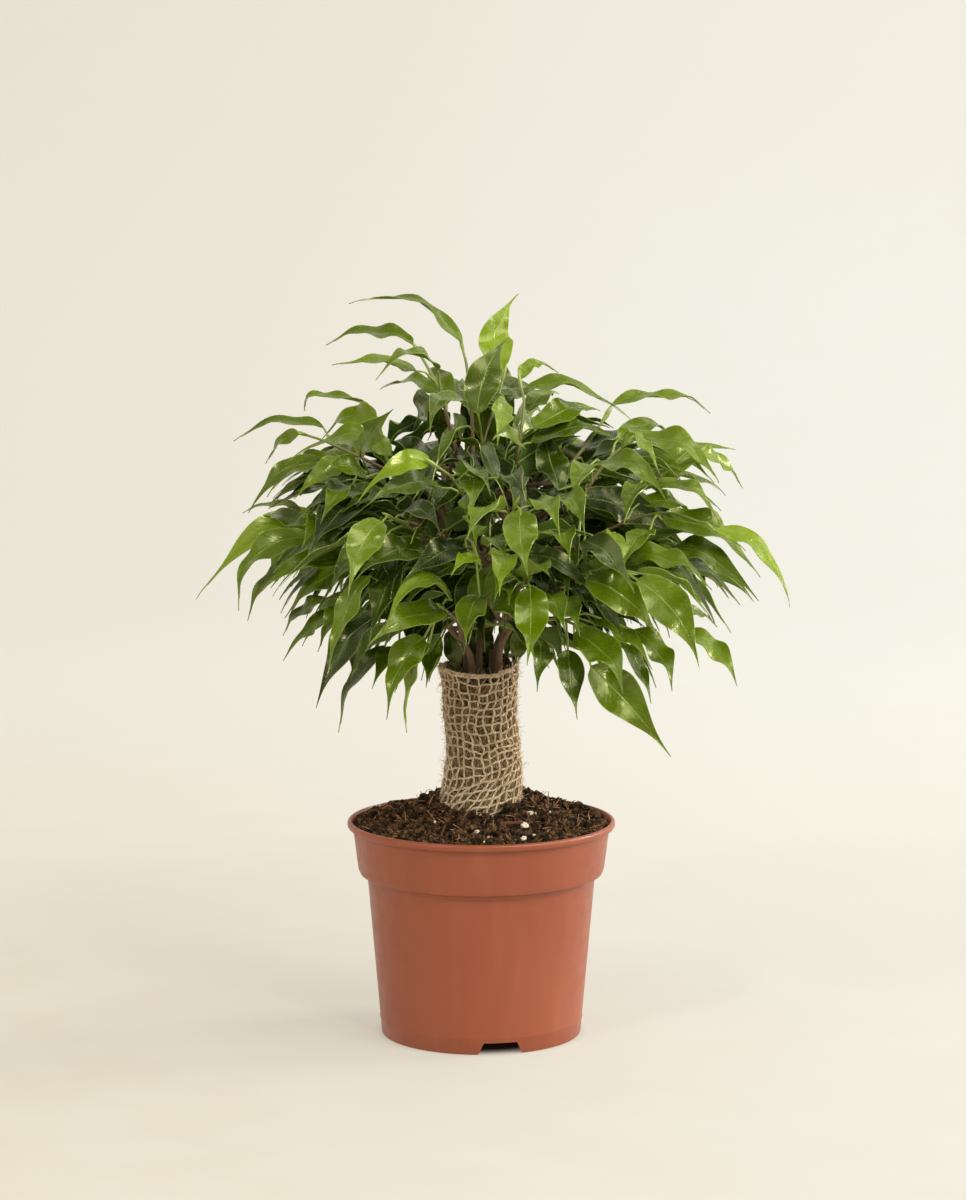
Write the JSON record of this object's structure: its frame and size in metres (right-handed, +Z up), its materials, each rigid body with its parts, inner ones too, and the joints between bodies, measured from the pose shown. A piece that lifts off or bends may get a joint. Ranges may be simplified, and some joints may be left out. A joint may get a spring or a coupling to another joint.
{
  "type": "potted weeping fig",
  "caption": "Young weeping fig with drooping pointed leaves, its stems held in a jute-wrapped moss column in a tapered terracotta-coloured plastic nursery pot.",
  "frame": {"origin": "on the table at the middle of the plant's outline from above, which is the axis of the pot to within about a millimetre", "axes": "+Z up along the pot's axis, -Y towards the viewer of the picture, +X to that viewer's right"},
  "size_m": [0.2624, 0.2696, 0.3323],
  "materials": {
    "terracotta_plastic": "satin moulded plastic",
    "potting_soil": "damp fibrous peat",
    "red_bark": "rough",
    "perlite": "chalky",
    "packed_moss": "fibrous",
    "jute": "open hessian weave",
    "fig_bark": "smooth young bark",
    "fig_leaf": "glossy leaf"
  },
  "bodies": {
    "root": {"bark_chip": "red_bark", "jute_sleeve": "jute", "moss_column": "packed_moss", "perlite_1": "perlite", "perlite_2": "perlite", "pot": "terracotta_plastic", "shoot_bare_twig": "fig_leaf", "shoot_centre_front": "fig_leaf", "shoot_centre_left": "fig_leaf", "shoot_centre_low": "fig_leaf", "shoot_centre_twig": "fig_leaf", "shoot_far_1_1": "fig_leaf", "shoot_far_1_2": "fig_leaf", "shoot_far_1_3": "fig_leaf", "shoot_far_1_4": "fig_leaf", "shoot_far_1_5": "fig_leaf", "shoot_far_1_6": "fig_leaf", "shoot_far_1_7": "fig_leaf", "shoot_far_2_1": "fig_leaf", "shoot_far_2_2": "fig_leaf", "shoot_far_2_3": "fig_leaf", "shoot_far_2_4": "fig_leaf", "shoot_far_2_5": "fig_leaf", "shoot_far_3_1": "fig_leaf", "shoot_far_3_2": "fig_leaf", "shoot_inner_1": "fig_leaf", "shoot_inner_2": "fig_leaf", "shoot_inner_3": "fig_leaf", "shoot_inner_4": "fig_leaf", "shoot_inner_5": "fig_leaf", "shoot_inner_6": "fig_leaf", "shoot_inner_7": "fig_leaf", "shoot_inner_8": "fig_leaf", "shoot_inner_9": "fig_leaf", "shoot_left_face": "fig_leaf", "shoot_left_high": "fig_leaf", "shoot_left_low": "fig_leaf", "shoot_left_low_front": "fig_leaf", "shoot_left_middle": "fig_leaf", "shoot_left_outer": "fig_leaf", "shoot_left_shelf": "fig_leaf", "shoot_left_under": "fig_leaf", "shoot_right_front": "fig_leaf", "shoot_right_high": "fig_leaf", "shoot_right_low": "fig_leaf", "shoot_right_middle": "fig_leaf", "shoot_right_outer": "fig_leaf", "shoot_right_upper": "fig_leaf", "shoot_top_arch": "fig_leaf", "shoot_top_centre": "fig_leaf", "shoot_top_left": "fig_leaf", "shoot_top_right": "fig_leaf", "soil": "potting_soil", "stem_back": "fig_bark", "stem_back_left": "fig_bark", "stem_back_right": "fig_bark", "stem_left": "fig_bark", "stem_right": "fig_bark"}
  },
  "joints": []
}
